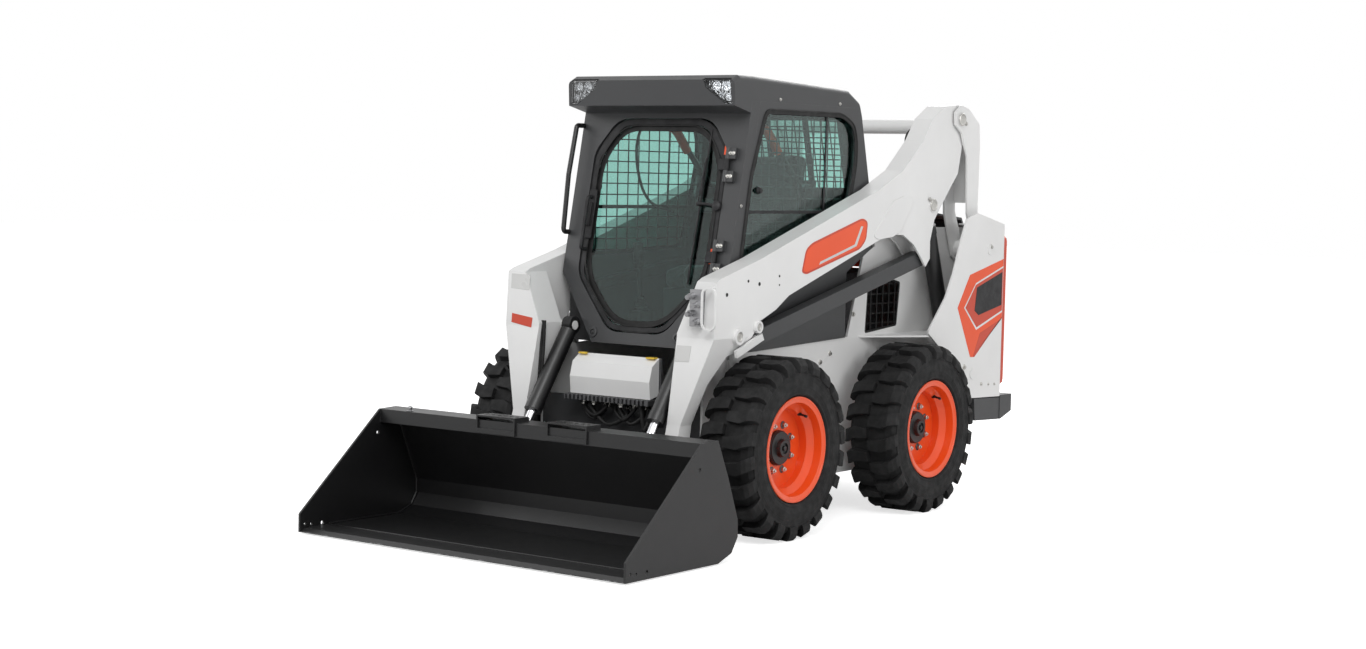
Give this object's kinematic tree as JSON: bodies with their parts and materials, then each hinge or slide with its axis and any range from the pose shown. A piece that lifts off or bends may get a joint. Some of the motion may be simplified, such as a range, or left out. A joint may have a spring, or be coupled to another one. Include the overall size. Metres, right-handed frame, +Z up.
{
  "type": "skid steer loader",
  "caption": "Compact skid steer loader with lug tyres, an enclosed cab, vertical-lift arms with cylinders, and a tilting general-purpose bucket on a quick coupler.",
  "frame": {"origin": "on the floor, under the middle of the machine's bounding box with the bucket down", "axes": "+Y from the bucket to the rear bumper, +X towards the machine's left side, +Z up"},
  "size_m": [1.727, 3.378, 1.95],
  "materials": {
    "white_paint": "semi-gloss",
    "charcoal_paint": "satin",
    "orange_paint": "semi-gloss",
    "black_paint": "satin",
    "chrome": "polished",
    "cab_glass": "tinted",
    "lamp_lens": "clear",
    "seat_fabric": "woven",
    "black_plastic": "matt",
    "red_lens": "glossy",
    "cast_iron": "painted",
    "steel": "worn",
    "tyre_rubber": "matt"
  },
  "bodies": {
    "chassis": {"frame_sides": "white_paint", "frame_floor": "charcoal_paint", "uprights": "white_paint", "rear_bumper": "charcoal_paint", "side_grilles": "black_paint", "cooler": "black_paint", "tail_lamps": "red_lens", "seat_bar": "black_paint", "control_levers": "black_plastic", "grab_rail": "black_paint", "engine_cover": "white_paint", "engine_block": "cast_iron", "front_panel": "white_paint", "front_step": "black_paint", "cab_roof": "charcoal_paint", "cab_front_frame": "charcoal_paint", "cab_sides": "charcoal_paint", "cab_rear_wall": "charcoal_paint", "cab_floor": "charcoal_paint", "head_lamps": "lamp_lens", "cab_glass": "cab_glass", "seat_base": "charcoal_paint", "seat_cushion": "seat_fabric", "seat_back": "seat_fabric"},
    "rear_link": {"rear_links": "white_paint", "link_cross_tube": "white_paint"},
    "lift_arm": {"lift_arms": "white_paint", "arm_cross_tube": "charcoal_paint", "hydraulic_couplers": "steel"},
    "control_link": {"control_links": "charcoal_paint"},
    "lift_barrel": {"lift_barrels": "black_paint"},
    "lift_rod": {"lift_rods": "chrome"},
    "tilt_barrel": {"tilt_barrels": "black_paint"},
    "tilt_rod": {"tilt_rods": "chrome"},
    "bucket": {"quick_coupler": "charcoal_paint", "bucket": "black_paint", "cutting_edge": "steel"},
    "door": {"door_frame": "charcoal_paint", "door_glass": "cab_glass"},
    "tailgate": {"tailgate": "orange_paint"},
    "grille_lid": {"rear_grille": "charcoal_paint"},
    "front_left_wheel": {"front_left_tyre": "tyre_rubber", "front_left_rim": "orange_paint", "front_left_hub": "black_paint"},
    "front_right_wheel": {"front_right_tyre": "tyre_rubber", "front_right_rim": "orange_paint", "front_right_hub": "black_paint"},
    "rear_left_wheel": {"rear_left_tyre": "tyre_rubber", "rear_left_rim": "orange_paint", "rear_left_hub": "black_paint"},
    "rear_right_wheel": {"rear_right_tyre": "tyre_rubber", "rear_right_rim": "orange_paint", "rear_right_hub": "black_paint"}
  },
  "joints": [
    {"name": "rear_link_swing", "type": "hinge", "parent": "chassis", "child": "rear_link", "pos_m": [0, 1.432, 1.195], "axis": [-1, 0, 0], "range_deg": [0, 8.7]},
    {"name": "lift", "type": "hinge", "parent": "rear_link", "child": "lift_arm", "pos_m": [0, 1.215, 1.817], "axis": [-1, 0, 0], "range_deg": [0, 56.34]},
    {"name": "control_link_swing", "type": "hinge", "parent": "chassis", "child": "control_link", "pos_m": [0, -0.42, 0.837], "axis": [-1, 0, 0], "range_deg": [-30.3, 0]},
    {"name": "lift_cylinder_swing", "type": "hinge", "parent": "chassis", "child": "lift_barrel", "pos_m": [0, 1.29, 0.6], "axis": [-1, 0, 0], "range_deg": [0, 0.6]},
    {"name": "lift_cylinder_stroke", "type": "slide", "parent": "lift_barrel", "child": "lift_rod", "axis": [0, -0.3371, 0.9415], "range_m": [0, 0.48]},
    {"name": "bucket_tilt", "type": "hinge", "parent": "lift_arm", "child": "bucket", "pos_m": [0, -0.84, 0.188], "axis": [1, 0, 0], "range_deg": [-30, 107]},
    {"name": "tilt_cylinder_swing", "type": "hinge", "parent": "lift_arm", "child": "tilt_barrel", "pos_m": [0, -0.575, 0.857], "axis": [1, 0, 0], "range_deg": [-1, 3.5]},
    {"name": "tilt_cylinder_stroke", "type": "slide", "parent": "tilt_barrel", "child": "tilt_rod", "axis": [0, -0.5696, -0.8219], "range_m": [-0.077, 0.275]},
    {"name": "door_hinge", "type": "hinge", "parent": "chassis", "child": "door", "pos_m": [0.373, -0.42711, 1.50294], "axis": [0, 0.1961, 0.9806], "range_deg": [0, 90]},
    {"name": "tailgate_hinge", "type": "hinge", "parent": "chassis", "child": "tailgate", "pos_m": [-0.646, 1.618, 0.9], "axis": [0, 0, 1], "range_deg": [0, 100]},
    {"name": "grille_hinge", "type": "hinge", "parent": "chassis", "child": "grille_lid", "pos_m": [0, 1.124, 1.398], "axis": [1, 0, 0], "range_deg": [0, 35]},
    {"name": "front_left_axle", "type": "hinge", "parent": "chassis", "child": "front_left_wheel", "pos_m": [0.65, -0.39, 0.3865], "axis": [1, 0, 0], "continuous": true},
    {"name": "front_right_axle", "type": "hinge", "parent": "chassis", "child": "front_right_wheel", "pos_m": [-0.65, -0.39, 0.3865], "axis": [1, 0, 0], "continuous": true},
    {"name": "rear_left_axle", "type": "hinge", "parent": "chassis", "child": "rear_left_wheel", "pos_m": [0.65, 0.735, 0.3865], "axis": [1, 0, 0], "continuous": true},
    {"name": "rear_right_axle", "type": "hinge", "parent": "chassis", "child": "rear_right_wheel", "pos_m": [-0.65, 0.735, 0.3865], "axis": [1, 0, 0], "continuous": true}
  ],
  "couplings": [
    {"joint": "rear_link_swing", "follows": "lift", "ratio": 0.15381},
    {"joint": "control_link_swing", "follows": "lift", "ratio": -0.53677},
    {"joint": "lift_cylinder_swing", "follows": "lift", "ratio": 0.010378},
    {"joint": "lift_cylinder_stroke", "follows": "lift", "m_per_rad": 0.4871},
    {"joint": "tilt_cylinder_swing", "follows": "bucket_tilt", "ratio": 0.0325},
    {"joint": "tilt_cylinder_stroke", "follows": "bucket_tilt", "m_per_rad": 0.14668}
  ]
}
